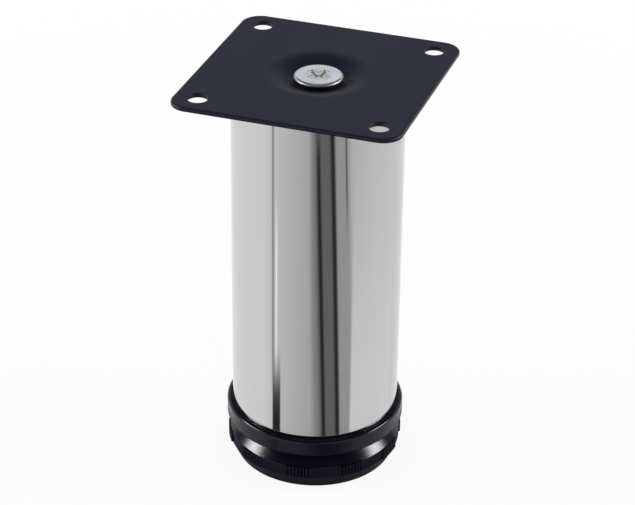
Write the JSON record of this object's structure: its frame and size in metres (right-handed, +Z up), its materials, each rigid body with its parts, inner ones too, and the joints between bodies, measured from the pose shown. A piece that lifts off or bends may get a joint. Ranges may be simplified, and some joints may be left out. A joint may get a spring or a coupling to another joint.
{
  "type": "height adjustable furniture leg",
  "caption": "Round chrome furniture leg with a square screw-on plate at its top and a black plastic foot that screws in and out of a collar to set the height.",
  "frame": {"origin": "centre of the foot's base on the floor, with the foot screwed in as far as it goes", "axes": "+Z up along the tube towards the mounting plate, X and Y along the plate's sides"},
  "size_m": [0.08, 0.08, 0.15],
  "materials": {
    "plate_paint": "semi-gloss black powder coat",
    "zinc_plate": "bright zinc plate",
    "tube_chrome": "mirror chrome plate",
    "black_plastic": "glossy moulded black",
    "plug_plastic": "plain moulded black"
  },
  "bodies": {
    "leg": {"mounting_plate": "plate_paint", "plate_screw": "zinc_plate", "top_plug": "plug_plastic", "plug_nut": "zinc_plate", "leg_tube": "tube_chrome", "foot_guide": "black_plastic", "guide_nut": "zinc_plate"},
    "spindle": {"adjusting_spindle": "zinc_plate"},
    "foot": {"adjusting_foot": "black_plastic"}
  },
  "joints": [
    {"name": "foot_drop", "type": "slide", "parent": "leg", "child": "spindle", "axis": [0, 0, -1], "range_m": [0, 0.02]},
    {"name": "foot_turn", "type": "hinge", "parent": "spindle", "child": "foot", "pos_m": [0, 0, 0], "axis": [0, 0, -1], "range_deg": [0, 4800]}
  ],
  "couplings": [
    {"joint": "foot_drop", "follows": "foot_turn", "m_per_rad": 0.00023873}
  ]
}
